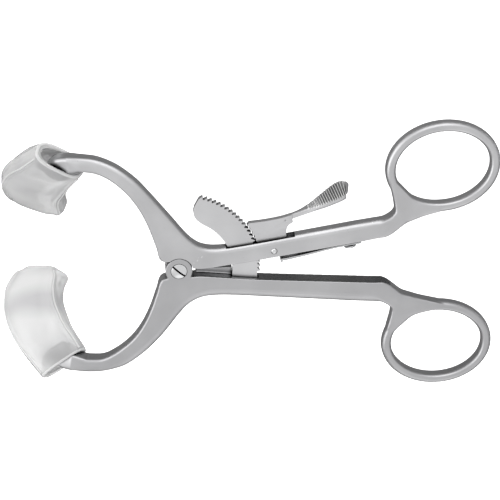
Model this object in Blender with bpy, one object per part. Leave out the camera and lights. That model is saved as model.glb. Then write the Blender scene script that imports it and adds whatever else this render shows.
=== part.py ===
"""Ratcheting cheek retractor with two finger rings and two clear cheek pads.

The instrument lies in the XY plane. The pivot axis is the Z axis, +X points to the
finger rings, +Y to the upper arm, +Z to the front face. z = 0 is the flat rear face.
All driving sizes are in millimetres and are turned into metres by MM.
"""

import math

import bmesh
import bpy
from mathutils import Matrix, Vector

MM = 0.001
TURNED_PHASE = 0.3         # keeps the facets of two round cuts from lining up

# --- arms -------------------------------------------------------------------
ARM_DEPTH = 5.4            # front to rear of both arms
ARM_MID = ARM_DEPTH / 2
ARM_ROUND = 1.2            # corner radius of a jaw's section
HANDLE_ROUND = 0.6         # corner radius of a handle's section
HANDLE_ROUND_START = 8.0   # distance along the arm where the handles' rounding takes over
JAW_BEND_START = 18.0      # distance from the pivot where a jaw starts to bend rearwards
JAW_BEND_SPAN = 30.0
JAW_BEND_DEPTH = 5.0       # rearward offset once the span is used up
LAP_GAP = 0.12             # each half eye stays this far from the lap's mid-plane
EYE_RADIUS = 4.3           # round eye of each arm at the lap joint
EYE_INSET = 0.03           # an eye's outer face lies this far below the arm's face
EYE_CLEARANCE = 0.35       # radial room round an eye
ARM_STEPS = 3              # loft sections between two outline stations

# Outer and inner edge of each arm, one pair of points per station, jaw tip first.
UPPER_STATIONS = (
    ((-29.7, 38.0), (-29.9, 33.2)),
    ((-24.6, 37.5), (-25.4, 32.9)),
    ((-18.7, 35.2), (-21.2, 31.2)),
    ((-13.2, 31.2), (-17.0, 27.9)),
    ((-9.3, 27.0), (-13.6, 23.9)),
    ((-5.4, 22.2), (-10.8, 19.0)),
    ((-1.4, 17.0), (-8.7, 13.6)),
    ((1.9, 12.6), (-7.0, 8.2)),
    ((4.6, 9.7), (-5.4, 3.6)),
    ((7.8, 7.8), (0.6, 3.0)),
    ((12.4, 7.2), (6.0, 0.5)),
    ((19.0, 8.0), (18.0, 1.8)),
    ((28.0, 9.4), (29.0, 3.4)),
    ((60.0, 14.6), (60.6, 8.4)),
    ((66.2, 15.6), (66.8, 9.4)),
    ((70.0, 18.0), (72.4, 13.8)),
)
LOWER_STATIONS = (
    ((-30.2, -38.4), (-30.2, -33.4)),
    ((-25.6, -37.9), (-25.6, -33.0)),
    ((-20.9, -36.4), (-22.0, -31.0)),
    ((-16.6, -34.1), (-18.2, -27.8)),
    ((-11.2, -29.3), (-14.6, -23.7)),
    ((-6.6, -24.2), (-11.6, -18.8)),
    ((-3.2, -19.8), (-9.2, -13.4)),
    ((-0.4, -16.0), (-7.3, -7.8)),
    ((2.8, -12.4), (-5.3, -2.9)),
    ((6.7, -10.2), (0.8, -3.0)),
    ((11.2, -9.6), (6.4, -2.5)),
    ((18.0, -9.9), (13.6, -3.2)),
    ((28.0, -10.9), (26.0, -4.1)),
    ((59.6, -14.0), (60.4, -6.6)),
    ((65.6, -14.6), (66.5, -7.1)),
    ((69.6, -16.6), (72.0, -11.4)),
)

# --- finger rings -----------------------------------------------------------
RING_HOLE_LONG = 15.0      # semi-axes of the finger hole
RING_HOLE_SHORT = 12.0
RING_WIDTH = 3.3           # section of the ring, in the plane and front to rear
RING_DEPTH = 4.4
RING_SEGMENTS = 48
UPPER_RING = ((83.6, 32.3), 5.5)     # centre and tilt of the long axis in degrees
LOWER_RING = ((84.3, -30.4), -3.5)
# Web between handle and ring, along its outer fillet and back along its inner edge.
UPPER_WEB = (
    (63.0, 13.5), (67.6, 16.3), (68.8, 17.9), (68.3, 21.0), (67.0, 26.5),
    (69.5, 27.5), (75.0, 21.5), (84.0, 18.7), (84.0, 17.3), (78.0, 15.6),
    (72.6, 13.6), (69.2, 11.5), (67.2, 9.9), (63.0, 11.0),
)
LOWER_WEB = (
    (63.0, -12.5), (67.6, -15.4), (68.9, -16.8), (68.6, -19.6), (67.4, -24.5),
    (70.0, -25.5), (76.0, -19.6), (85.0, -17.0), (85.0, -15.4), (78.5, -13.6),
    (73.0, -11.8), (69.6, -9.9), (67.0, -8.2), (63.0, -9.5),
)

# --- cheek pads and the jaw tips inside them ----------------------------------
PAD_WALL_GAP = 0.3         # room between the metal tongue and the pad's pocket
# Centre, width direction and half sizes of the pad at each station, cut end first.
PAD_STATIONS = (
    ((-36.9, 36.0, -2.9), (0.83, -0.53, -0.10), 8.4, 4.2),
    ((-40.9, 31.6, -7.7), (0.90, -0.42, -0.05), 9.2, 5.1),
    ((-44.1, 26.9, -11.7), (0.90, -0.38, 0.08), 10.1, 4.8),
    ((-46.1, 22.4, -15.6), (0.92, -0.30, 0.18), 10.4, 4.2),
    ((-46.3, 18.2, -19.0), (0.93, -0.24, 0.26), 10.3, 3.7),
    ((-45.5, 14.4, -22.0), (0.91, -0.20, 0.36), 9.9, 3.3),
    ((-44.8, 12.0, -24.0), (0.885, -0.17, 0.43), 8.0, 2.4),
)
PAD_STEPS = 2
PAD_SHIFT = {1: 0.8, -1: -1.2}      # each pad sits a little differently on its jaw
# Tongue: the end of the jaw, its centre, width direction and half sizes.
TONGUE_STATIONS = (
    ((-33.4, 35.2, -2.6), (0.22, -0.97, -0.08), 2.3, 2.4),
    ((-36.8, 33.8, -3.8), (0.60, -0.78, -0.14), 2.2, 2.2),
    ((-39.8, 30.8, -5.6), (0.80, -0.58, -0.12), 2.2, 2.0),
    ((-42.2, 27.4, -7.8), (0.84, -0.51, -0.08), 2.2, 1.8),
)
# Where the jaw enters the pad; the pocket starts here, before the tongue's first station.
POCKET_MOUTH = ((-29.8, 35.6, -1.9), (0.05, -1.0, 0.0), 2.5, 2.8)

# --- pivot screw --------------------------------------------------------------
SCREW_HEAD_RADIUS = 2.5
SCREW_SHANK_RADIUS = 1.6
SCREW_SEAT_DEPTH = 1.3     # counterbore in the front eye
SCREW_DOME = 0.75          # height of the domed head above its rim
SCREW_SLOT = 0.55          # width and depth of the driver slot
SCREW_SLOT_TURN = -42.0
RUN_GAP = 0.3

# --- ratchet ------------------------------------------------------------------
RACK_THICK = 2.0
SLOT_WIDTH = 2.8
RACK_TIP_RADIUS = 26.0
RACK_BORE_RADIUS = 17.2    # concave edge of the toothed plate
TOOTH_DEPTH = 0.9
TOOTH_PITCH = 3.45         # degrees
TOOTH_COUNT = 23
FIRST_TOOTH = -3.8         # angle of the lowest tooth tip
MESH_TOOTH = 7             # the pawl meshes from this tooth upwards
PAWL_TEETH = 4
PAWL_LIFT = 0.08           # room between the pawl and the rack's tips at rest
PAWL_TOOTH_DEPTH = 0.4
RACK_END = ((5.3, 21.6), (4.9, 19.4), (5.8, 17.1), (8.0, 15.2))
RACK_FOOT = ((17.6, -7.6), (25.4, -7.6))
ARM_SLOT_X = (15.0, 37.0)  # slot through the upper handle
FOOT_SLOT_X = (17.2, 25.8)
FOOT_SLOT_FLOOR = -8.0

# --- release pawl ---------------------------------------------------------------
PAWL_PIVOT = (30.3, 5.9)
PAWL_PIN_RADIUS = 0.95
PAWL_HEEL = ((24.7, 8.9), (27.3, 4.9), (28.6, 3.9), (30.6, 3.4), (32.9, 3.3), (34.0, 4.6))
PAWL_BACK = ((34.3, 8.0), (34.3, 12.0), (34.9, 13.9), (36.4, 15.0))
PAWL_TOP = ((36.0, 17.6), (32.6, 16.6), (27.4, 15.7), (22.4, 15.2))
# Thumb lever: centre of its top face, thickness, half width front to rear.
LEVER_STATIONS = (
    ((34.6, 17.2), 1.7, 1.0),
    ((38.6, 18.8), 1.9, 1.2),
    ((42.4, 20.8), 2.1, 2.0),
    ((45.8, 22.8), 2.3, 3.1),
    ((49.0, 24.8), 2.4, 4.0),
    ((51.2, 26.0), 2.3, 4.2),
    ((52.8, 26.5), 2.0, 3.6),
    ((53.9, 26.1), 1.4, 2.2),
)

# --- leaf spring ------------------------------------------------------------------
LEAF_THICK = 0.7
LEAF_WIDTH = 3.6
LEAF_TOP = ((58.2, 7.75), (50.0, 6.4), (42.0, 4.5), (35.2, 3.0), (33.4, 2.75))
LEAF_LIP_RADIUS = 0.75
LEAF_SCREW_X = 54.6        # where the screw's axis meets the inner face of the handle
LEAF_SCREW_HEAD = 2.1
LEAF_SCREW_SHANK = 1.0
HANDLE_NEAR = (29.0, 3.4)   # two points on the inner face of the upper handle
HANDLE_FAR = (66.8, 9.4)
HANDLE_SLOPE = math.atan2(HANDLE_FAR[1] - HANDLE_NEAR[1], HANDLE_FAR[0] - HANDLE_NEAR[0])


def clear_scene():
    for obj in list(bpy.data.objects):
        bpy.data.objects.remove(obj, do_unlink=True)


def make_material(name, colour, roughness, metallic, transmission=0.0):
    material = bpy.data.materials.new(name)
    material.use_nodes = True
    shader = material.node_tree.nodes["Principled BSDF"]
    shader.inputs["Base Color"].default_value = (*colour, 1.0)
    shader.inputs["Roughness"].default_value = roughness
    shader.inputs["Metallic"].default_value = metallic
    shader.inputs["Transmission Weight"].default_value = transmission
    return material


def new_object(name, mesh):
    obj = bpy.data.objects.new(name, mesh)
    bpy.context.collection.objects.link(obj)
    return obj


def mesh_from(name, bm):
    """Turn a bmesh into a mesh; solids stay in millimetres until they are finished."""
    bmesh.ops.recalc_face_normals(bm, faces=bm.faces)
    mesh = bpy.data.meshes.new(name)
    bm.to_mesh(mesh)
    bm.free()
    return mesh


def loft(name, sections, closed=False):
    """Join equal point rings into one closed skin, capped unless it runs round."""
    bm = bmesh.new()
    rings = [[bm.verts.new(point) for point in section] for section in sections]
    pairs = list(zip(rings, rings[1:]))
    if closed:
        pairs.append((rings[-1], rings[0]))
    count = len(rings[0])
    for first, second in pairs:
        for i in range(count):
            j = (i + 1) % count
            bm.faces.new((first[i], first[j], second[j], second[i]))
    if not closed:
        bm.faces.new(rings[0])
        bm.faces.new(rings[-1])
    bmesh.ops.triangulate(bm, faces=bm.faces)
    return new_object(name, mesh_from(name, bm))


def plate(name, outline, low, high):
    """Extrude a flat outline from z = low to z = high."""
    bm = bmesh.new()
    face = bm.faces.new([bm.verts.new((x, y, low)) for x, y in outline])
    lifted = bmesh.ops.extrude_face_region(bm, geom=[face])
    top = [item for item in lifted["geom"] if isinstance(item, bmesh.types.BMVert)]
    bmesh.ops.translate(bm, verts=top, vec=(0, 0, high - low))
    return new_object(name, mesh_from(name, bm))


def turned(name, profile, centre=(0.0, 0.0), segments=32):
    """Turn a profile of (radius, z) pairs about a vertical axis; it starts and ends at radius 0."""
    bm = bmesh.new()
    rings = []
    for radius, z in profile:
        if radius == 0.0:
            rings.append([bm.verts.new((centre[0], centre[1], z))])
            continue
        ring = []
        for i in range(segments):
            angle = 2 * math.pi * (i + TURNED_PHASE) / segments
            x = centre[0] + radius * math.cos(angle)
            y = centre[1] + radius * math.sin(angle)
            ring.append(bm.verts.new((x, y, z)))
        rings.append(ring)
    for first, second in zip(rings, rings[1:]):
        for i in range(segments):
            j = (i + 1) % segments
            corners = [first[i % len(first)], first[j % len(first)]]
            corners += [second[j % len(second)], second[i % len(second)]]
            unique = list(dict.fromkeys(corners))
            bm.faces.new(unique)
    return new_object(name, mesh_from(name, bm))


def combine(target, operation, *tools):
    """Apply one Boolean operation for each tool and remove the tools."""
    for tool in tools:
        modifier = target.modifiers.new("combine", "BOOLEAN")
        modifier.object = tool
        modifier.operation = operation
        modifier.solver = "EXACT"
        graph = bpy.context.evaluated_depsgraph_get()
        solid = bpy.data.meshes.new_from_object(target.evaluated_get(graph))
        target.modifiers.clear()
        target.data = solid
        bpy.data.objects.remove(tool, do_unlink=True)
    return target


def finish(obj, material, smooth_angle=35.0):
    """Turn a finished solid from millimetres into metres and give it its material."""
    obj.data.transform(Matrix.Scale(MM, 4))
    obj.data.materials.clear()
    obj.data.materials.append(material)
    obj.data.shade_smooth()
    obj.data.set_sharp_from_angle(angle=math.radians(smooth_angle))
    return obj


def set_origin(obj, point):
    """Move the object's origin to a point in millimetres without moving its mesh."""
    offset = Vector(point) * MM
    for vertex in obj.data.vertices:
        vertex.co -= offset
    obj.location = offset
    return obj


def smooth_path(points, steps):
    """Catmull-Rom curve through points of any dimension, steps pieces per span."""
    vectors = [Vector(point) for point in points]
    path = []
    for i in range(len(vectors) - 1):
        before = vectors[max(i - 1, 0)]
        start = vectors[i]
        end = vectors[i + 1]
        after = vectors[min(i + 2, len(vectors) - 1)]
        for k in range(steps):
            t = k / steps
            path.append(0.5 * (
                2 * start
                + (end - before) * t
                + (2 * before - 5 * start + 4 * end - after) * t * t
                + (3 * start - before - 3 * end + after) * t * t * t
            ))
    path.append(vectors[-1])
    return path


def rounded_section(centre, across, normal, half_width, half_depth, radius):
    """Eight-cornered rounded rectangle in the plane of two unit directions."""
    corner_w = half_width - radius
    corner_d = half_depth - radius
    cut = radius * 0.35
    points = []
    for sign_w, sign_d in ((1, 1), (-1, 1), (-1, -1), (1, -1)):
        side = (half_width, corner_d)
        mid = (half_width - cut, half_depth - cut)
        face = (corner_w, half_depth)
        order = (side, mid, face)
        if sign_w * sign_d < 0:
            order = (face, mid, side)
        for width, depth in order:
            points.append(centre + across * (sign_w * width) + normal * (sign_d * depth))
    return points


def jaw_drop(x, y):
    """Rearward offset of an arm at a place: only the jaws, beyond the bend's start."""
    if x > 0:
        return 0.0
    beyond = max(0.0, math.hypot(x, y) - JAW_BEND_START) / JAW_BEND_SPAN
    return -JAW_BEND_DEPTH * beyond * beyond


def framed_sections(stations, side, steps, radius=None):
    """Sections of a pad or tongue from stations of centre, width direction and half sizes."""
    flat = []
    for centre, across, half_width, half_depth in stations:
        row = (centre[0] + PAD_SHIFT[side], side * centre[1], centre[2])
        flat.append(row + (across[0], side * across[1], across[2], half_width, half_depth))
    rows = smooth_path(flat, steps)
    sections = []
    for i, row in enumerate(rows):
        ahead = rows[min(i + 1, len(rows) - 1)]
        behind = rows[max(i - 1, 0)]
        along = (Vector(ahead[:3]) - Vector(behind[:3])).normalized()
        across = Vector(row[3:6]).normalized()
        normal = along.cross(across).normalized()
        corner = radius or min(row[6], row[7]) * 0.6
        sections.append(rounded_section(Vector(row[:3]), across, normal, row[6], row[7], corner))
    return sections


def arm_bar(name, stations, side):
    """Jaw and handle of one arm as a single lofted bar, with the jaw's tongue in front."""
    flat = [outer + inner for outer, inner in stations]
    sections = framed_sections(TONGUE_STATIONS[::-1], side, 2, ARM_ROUND)
    for row in smooth_path(flat, ARM_STEPS):
        outer = Vector((row[0], row[1], 0.0))
        inner = Vector((row[2], row[3], 0.0))
        centre = (outer + inner) / 2
        centre.z = ARM_MID + jaw_drop(centre.x, centre.y)
        across = (inner - outer).normalized()
        half_width = (outer - inner).length / 2
        corner = ARM_ROUND if centre.x < HANDLE_ROUND_START else HANDLE_ROUND
        sections.append(rounded_section(
            centre, across, Vector((0, 0, -side)), half_width, ARM_DEPTH / 2, corner))
    return loft(name, sections)


def finger_ring(name, centre, tilt):
    turn = math.radians(tilt)
    sections = []
    long_axis = RING_HOLE_LONG + RING_WIDTH / 2
    short_axis = RING_HOLE_SHORT + RING_WIDTH / 2
    for i in range(RING_SEGMENTS):
        angle = 2 * math.pi * i / RING_SEGMENTS
        x = long_axis * math.cos(angle)
        y = short_axis * math.sin(angle)
        out = Vector((math.cos(angle) / long_axis, math.sin(angle) / short_axis, 0)).normalized()
        spot = Vector((
            centre[0] + x * math.cos(turn) - y * math.sin(turn),
            centre[1] + x * math.sin(turn) + y * math.cos(turn),
            ARM_MID,
        ))
        across = Vector((
            out.x * math.cos(turn) - out.y * math.sin(turn),
            out.x * math.sin(turn) + out.y * math.cos(turn),
            0,
        ))
        sections.append(rounded_section(
            spot, across, Vector((0, 0, 1)), RING_WIDTH / 2, RING_DEPTH / 2, 1.2))
    return loft(name, sections, closed=True)


def disc(name, radius, low, high, centre=(0.0, 0.0), segments=32):
    return turned(name, ((0.0, low), (radius, low), (radius, high), (0.0, high)), centre, segments)


def ring_and_web(arm, ring, web):
    centre, tilt = ring
    web_low = ARM_MID - RING_DEPTH / 2 - 0.2
    web_high = ARM_MID + RING_DEPTH / 2 + 0.2
    combine(arm, "UNION", plate("web", web, web_low, web_high))
    combine(arm, "UNION", finger_ring("ring", centre, tilt))


def box(name, low, high):
    corners = ((low[0], low[1]), (high[0], low[1]), (high[0], high[1]), (low[0], high[1]))
    return plate(name, corners, low[2], high[2])


def handle_point(x, below=0.0):
    """Point on the upper handle's inner face, or a distance below that face."""
    y = HANDLE_NEAR[1] + (x - HANDLE_NEAR[0]) * math.tan(HANDLE_SLOPE)
    return Vector((x + below * math.sin(HANDLE_SLOPE), y - below * math.cos(HANDLE_SLOPE), ARM_MID))


def tilted_disc(name, radius, start, end, segments=20):
    """Cylinder between two points that share the mid-plane."""
    along = (end - start).normalized()
    across = Vector((0, 0, 1))
    normal = along.cross(across)
    sections = []
    for centre in (start, end):
        ring = []
        for i in range(segments):
            angle = 2 * math.pi * i / segments
            ring.append(centre + across * radius * math.cos(angle) + normal * radius * math.sin(angle))
        sections.append(ring)
    return loft(name, sections)


def build_upper_arm(material):
    arm = arm_bar("upper_arm", UPPER_STATIONS, 1)
    ring_and_web(arm, UPPER_RING, UPPER_WEB)
    combine(arm, "DIFFERENCE", disc("recess", EYE_RADIUS + EYE_CLEARANCE, ARM_MID, 9.0))
    combine(arm, "UNION", disc("eye", EYE_RADIUS, EYE_INSET, ARM_MID - LAP_GAP))
    combine(arm, "DIFFERENCE", disc("hole", SCREW_SHANK_RADIUS + RUN_GAP, -2.0, 9.0, (0.0, 0.0), 20))
    slot_low = (ARM_SLOT_X[0], -1.0, ARM_MID - SLOT_WIDTH / 2)
    slot_high = (ARM_SLOT_X[1], 16.0, ARM_MID + SLOT_WIDTH / 2)
    combine(arm, "DIFFERENCE", box("slot", slot_low, slot_high))
    pin_hole = disc("pin_hole", PAWL_PIN_RADIUS + RUN_GAP, -2.0, 9.0, PAWL_PIVOT, 20)
    combine(arm, "DIFFERENCE", pin_hole)
    screw_hole = tilted_disc(
        "screw_hole", LEAF_SCREW_SHANK + RUN_GAP, handle_point(LEAF_SCREW_X, 2.0),
        handle_point(LEAF_SCREW_X, -4.3))
    combine(arm, "DIFFERENCE", screw_hole)
    return finish(arm, material)


def build_lower_arm(material):
    arm = arm_bar("lower_arm", LOWER_STATIONS, -1)
    ring_and_web(arm, LOWER_RING, LOWER_WEB)
    combine(arm, "DIFFERENCE", disc("recess", EYE_RADIUS + EYE_CLEARANCE, -4.0, ARM_MID))
    combine(arm, "UNION", disc("eye", EYE_RADIUS, ARM_MID + LAP_GAP, ARM_DEPTH - EYE_INSET))
    slot_low = (FOOT_SLOT_X[0], FOOT_SLOT_FLOOR, ARM_MID - SLOT_WIDTH / 2)
    slot_high = (FOOT_SLOT_X[1], 2.0, ARM_MID + SLOT_WIDTH / 2)
    combine(arm, "DIFFERENCE", box("foot_slot", slot_low, slot_high))
    hole = SCREW_SHANK_RADIUS + RUN_GAP
    seat = SCREW_HEAD_RADIUS + RUN_GAP
    step = ARM_DEPTH - SCREW_SEAT_DEPTH
    profile = ((0.0, -2.0), (hole, -2.0), (hole, step), (seat, step), (seat, 9.0), (0.0, 9.0))
    combine(arm, "DIFFERENCE", turned("screw_room", profile, (0.0, 0.0), 28))
    return finish(arm, material)


def build_pivot_screw(material):
    rim = ARM_DEPTH
    seat = ARM_DEPTH - SCREW_SEAT_DEPTH + RUN_GAP
    dome = (SCREW_HEAD_RADIUS ** 2 + SCREW_DOME ** 2) / (2 * SCREW_DOME)
    profile = [(0.0, 0.0), (SCREW_SHANK_RADIUS, 0.0), (SCREW_SHANK_RADIUS, seat)]
    profile += [(SCREW_HEAD_RADIUS, seat)]
    steps = 6
    for k in range(steps + 1):
        radius = SCREW_HEAD_RADIUS * math.cos(0.5 * math.pi * k / steps)
        if k == steps:
            radius = 0.0
        profile.append((radius, rim - dome + SCREW_DOME + math.sqrt(dome ** 2 - radius ** 2)))
    screw = turned("pivot_screw", profile)
    turn = math.radians(SCREW_SLOT_TURN)
    along = Vector((math.cos(turn), math.sin(turn))) * 4.0
    wide = Vector((-math.sin(turn), math.cos(turn))) * SCREW_SLOT / 2
    corners = (along + wide, -along + wide, -along - wide, along - wide)
    combine(screw, "DIFFERENCE", plate("driver_slot", corners, rim + SCREW_DOME - SCREW_SLOT - 0.3, 9.0))
    return finish(screw, material)


def polar(radius, degrees):
    angle = math.radians(degrees)
    return (radius * math.cos(angle), radius * math.sin(angle))


def build_ratchet_rack(material):
    """Toothed sector plate, concentric with the pivot, seated in the lower arm."""
    outline = [RACK_FOOT[0], RACK_FOOT[1]]
    outline.append(polar(RACK_TIP_RADIUS - TOOTH_DEPTH, FIRST_TOOTH - TOOTH_PITCH * 0.5))
    for k in range(TOOTH_COUNT):
        tip = FIRST_TOOTH + k * TOOTH_PITCH
        outline.append(polar(RACK_TIP_RADIUS - TOOTH_DEPTH, tip - 0.12 * TOOTH_PITCH))
        outline.append(polar(RACK_TIP_RADIUS, tip))
        outline.append(polar(RACK_TIP_RADIUS, tip + 0.14 * TOOTH_PITCH))
        outline.append(polar(RACK_TIP_RADIUS - TOOTH_DEPTH, tip + 0.7 * TOOTH_PITCH))
    outline += RACK_END
    for degrees in range(56, -9, -6):
        outline.append(polar(RACK_BORE_RADIUS, degrees))
    low = ARM_MID - RACK_THICK / 2
    rack = plate("ratchet_rack", outline, low, low + RACK_THICK)
    return finish(rack, material)


def pawl_tooth_edge():
    """Toothed edge of the pawl, from its lowest tooth to its highest."""
    points = []
    root = RACK_TIP_RADIUS + PAWL_LIFT + PAWL_TOOTH_DEPTH
    crest = RACK_TIP_RADIUS + PAWL_LIFT
    for k in range(PAWL_TEETH):
        tip = FIRST_TOOTH + (MESH_TOOTH + k) * TOOTH_PITCH
        points.append(polar(root, tip + 0.34 * TOOTH_PITCH))
        points.append(polar(crest, tip + 0.62 * TOOTH_PITCH))
        points.append(polar(crest, tip + 0.84 * TOOTH_PITCH))
        points.append(polar(root, tip + 0.88 * TOOTH_PITCH))
    return points


def build_release_pawl(material):
    """Pawl plate that swings in the handle's slot, with its wide thumb lever."""
    outline = pawl_tooth_edge()[::-1] + list(PAWL_HEEL) + list(PAWL_BACK) + list(PAWL_TOP)
    low = ARM_MID - RACK_THICK / 2
    pawl = plate("release_pawl", outline, low, low + RACK_THICK)
    rows = smooth_path([top + (thick, half) for top, thick, half in LEVER_STATIONS], 2)
    sections = []
    for i, row in enumerate(rows):
        ahead = rows[min(i + 1, len(rows) - 1)]
        behind = rows[max(i - 1, 0)]
        along = Vector((ahead[0] - behind[0], ahead[1] - behind[1], 0)).normalized()
        down = Vector((along.y, -along.x, 0))
        centre = Vector((row[0], row[1], ARM_MID)) + down * row[2] / 2
        sections.append(rounded_section(
            centre, Vector((0, 0, 1)), down, row[3], row[2] / 2, min(row[2], row[3]) * 0.3))
    combine(pawl, "UNION", loft("lever", sections))
    hole = disc("pin_hole", PAWL_PIN_RADIUS + RUN_GAP, -2.0, 9.0, PAWL_PIVOT, 20)
    combine(pawl, "DIFFERENCE", hole)
    finish(pawl, material)
    return set_origin(pawl, (PAWL_PIVOT[0], PAWL_PIVOT[1], ARM_MID))


def build_pawl_pin(material):
    profile = ((0.0, 0.1), (PAWL_PIN_RADIUS, 0.1), (PAWL_PIN_RADIUS, ARM_DEPTH))
    profile += ((PAWL_PIN_RADIUS * 0.7, ARM_DEPTH + 0.25), (0.0, ARM_DEPTH + 0.35))
    return finish(turned("pawl_pin", profile, PAWL_PIVOT, 20), material)


def build_leaf_spring(material):
    """Flat spring under the handle with a rolled lip at its free end."""
    path = [Vector(point) for point in smooth_path(LEAF_TOP, 3)]
    end = path[-1]
    lip_centre = end + Vector((-0.2, -LEAF_LIP_RADIUS))
    for degrees in range(100, 260, 20):
        path.append(lip_centre + Vector(polar(LEAF_LIP_RADIUS, degrees)))
    sections = []
    for i, spot in enumerate(path):
        ahead = path[min(i + 1, len(path) - 1)]
        behind = path[max(i - 1, 0)]
        along = (ahead - behind).normalized()
        down = Vector((-along.y, along.x, 0))
        start = Vector((spot.x, spot.y, ARM_MID)) + down * LEAF_THICK / 2
        half = Vector((0, 0, LEAF_WIDTH / 2))
        rise = down * LEAF_THICK / 2
        sections.append((start + half + rise, start - half + rise, start - half - rise, start + half - rise))
    leaf = loft("leaf_spring", sections)
    hole = tilted_disc(
        "screw_hole", LEAF_SCREW_SHANK + RUN_GAP, handle_point(LEAF_SCREW_X, 4.0),
        handle_point(LEAF_SCREW_X, -1.0))
    combine(leaf, "DIFFERENCE", hole)
    finish(leaf, material)
    pivot = handle_point(LEAF_SCREW_X, LEAF_THICK / 2 + RUN_GAP)
    return set_origin(leaf, pivot)


def build_spring_screw(material):
    under = LEAF_THICK + 2 * RUN_GAP
    foot = handle_point(LEAF_SCREW_X, under)
    shank = tilted_disc("spring_screw", LEAF_SCREW_SHANK, foot, handle_point(LEAF_SCREW_X, -4.0))
    axis = (foot - handle_point(LEAF_SCREW_X, -4.0)).normalized()
    across = Vector((0, 0, 1))
    normal = axis.cross(across)
    sections = []
    for depth, share in ((-0.001, 1.0), (0.45, 1.0), (0.8, 0.82), (1.0, 0.5)):
        ring = []
        for i in range(20):
            angle = 2 * math.pi * i / 20
            arm = across * math.cos(angle) + normal * math.sin(angle)
            ring.append(foot + axis * depth + arm * LEAF_SCREW_HEAD * share)
        sections.append(ring)
    combine(shank, "UNION", loft("head", sections))
    return finish(shank, material)


def build_pad(name, side, material):
    """Clear cheek pad: a curved boot with a pocket that takes the jaw's tongue."""
    pad = loft(name, framed_sections(PAD_STATIONS, side, PAD_STEPS))
    grown = []
    for centre, across, half_width, half_depth in (POCKET_MOUTH,) + TONGUE_STATIONS:
        grown.append((centre, across, half_width + PAD_WALL_GAP, half_depth + PAD_WALL_GAP))
    last = Vector(TONGUE_STATIONS[-1][0])
    before = Vector(TONGUE_STATIONS[-2][0])
    deeper = last + (last - before).normalized() * PAD_WALL_GAP
    grown[-1] = (tuple(deeper),) + grown[-1][1:]
    combine(pad, "DIFFERENCE", loft("pocket", framed_sections(grown, side, 3, ARM_ROUND)))
    return finish(pad, material)


def build():
    clear_scene()
    steel = make_material("satin_steel", (0.62, 0.63, 0.64), 0.32, 1.0)
    bright = make_material("bright_steel", (0.74, 0.75, 0.76), 0.2, 1.0)
    spring = make_material("spring_steel", (0.55, 0.56, 0.57), 0.28, 1.0)
    clear = make_material("clear_plastic", (0.93, 0.94, 0.95), 0.12, 0.0, 0.7)
    build_upper_arm(steel)
    build_lower_arm(steel)
    build_pivot_screw(bright)
    build_ratchet_rack(steel)
    build_release_pawl(steel)
    build_pawl_pin(bright)
    build_leaf_spring(spring)
    build_spring_screw(bright)
    build_pad("upper_pad", 1, clear)
    build_pad("lower_pad", -1, clear)


build()
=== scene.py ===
"""Looks of a ratcheting cheek retractor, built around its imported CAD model.

The instrument lies in the XY plane. The pivot axis is the Z axis, +X points to the finger
rings, +Y to the upper arm, +Z to the front face. Sizes are in millimetres until a piece is
finished, when MM turns them into metres.
"""

import math

import bmesh
import bpy
from mathutils import Matrix, Vector


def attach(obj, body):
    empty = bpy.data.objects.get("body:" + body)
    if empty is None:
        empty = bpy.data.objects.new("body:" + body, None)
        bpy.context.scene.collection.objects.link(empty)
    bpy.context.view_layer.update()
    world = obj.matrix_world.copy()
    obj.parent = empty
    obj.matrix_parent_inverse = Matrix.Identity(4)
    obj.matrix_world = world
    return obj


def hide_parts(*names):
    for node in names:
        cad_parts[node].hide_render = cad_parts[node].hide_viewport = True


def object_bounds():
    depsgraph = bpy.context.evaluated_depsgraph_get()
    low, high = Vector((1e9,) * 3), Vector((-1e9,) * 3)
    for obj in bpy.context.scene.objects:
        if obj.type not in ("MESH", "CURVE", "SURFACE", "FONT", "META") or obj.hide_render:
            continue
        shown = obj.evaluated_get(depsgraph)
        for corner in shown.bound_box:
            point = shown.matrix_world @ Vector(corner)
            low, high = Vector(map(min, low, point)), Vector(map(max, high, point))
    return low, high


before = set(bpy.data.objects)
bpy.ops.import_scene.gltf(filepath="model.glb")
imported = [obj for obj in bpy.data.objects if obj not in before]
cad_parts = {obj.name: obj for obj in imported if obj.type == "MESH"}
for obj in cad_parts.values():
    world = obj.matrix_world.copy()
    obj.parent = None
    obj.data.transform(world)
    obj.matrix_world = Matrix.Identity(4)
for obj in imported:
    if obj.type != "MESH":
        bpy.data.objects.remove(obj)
CAD_BOX = [list(map(float, corner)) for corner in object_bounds()]

MM = 0.001                         # metres in a millimetre

# --- arms -------------------------------------------------------------------------------------
ARM_DEPTH = 5.4
ARM_MID = ARM_DEPTH / 2
JAW_BEND_START = 18.0              # distance from the pivot where a jaw starts to bend rearwards
JAW_BEND_SPAN = 30.0
JAW_BEND_DEPTH = 5.0
ARM_STEPS = 10
CORNER_POINTS = 5
# Corner roundings of an arm: across it, and from front to rear
JAW_OUTER_ROUND = (2.3, 1.35)
JAW_INNER_ROUND = (0.9, 0.7)
HANDLE_OUTER_ROUND = (3.3, 1.7)
HANDLE_INNER_ROUND = (0.22, 0.22)
ROUND_CHANGE_X = (-2.0, 14.0)      # between these the jaw's rounding turns into the handle's
VOXEL = 0.2
FORGING_SMOOTH = 4                 # smoothing rounds over a whole forging

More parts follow.
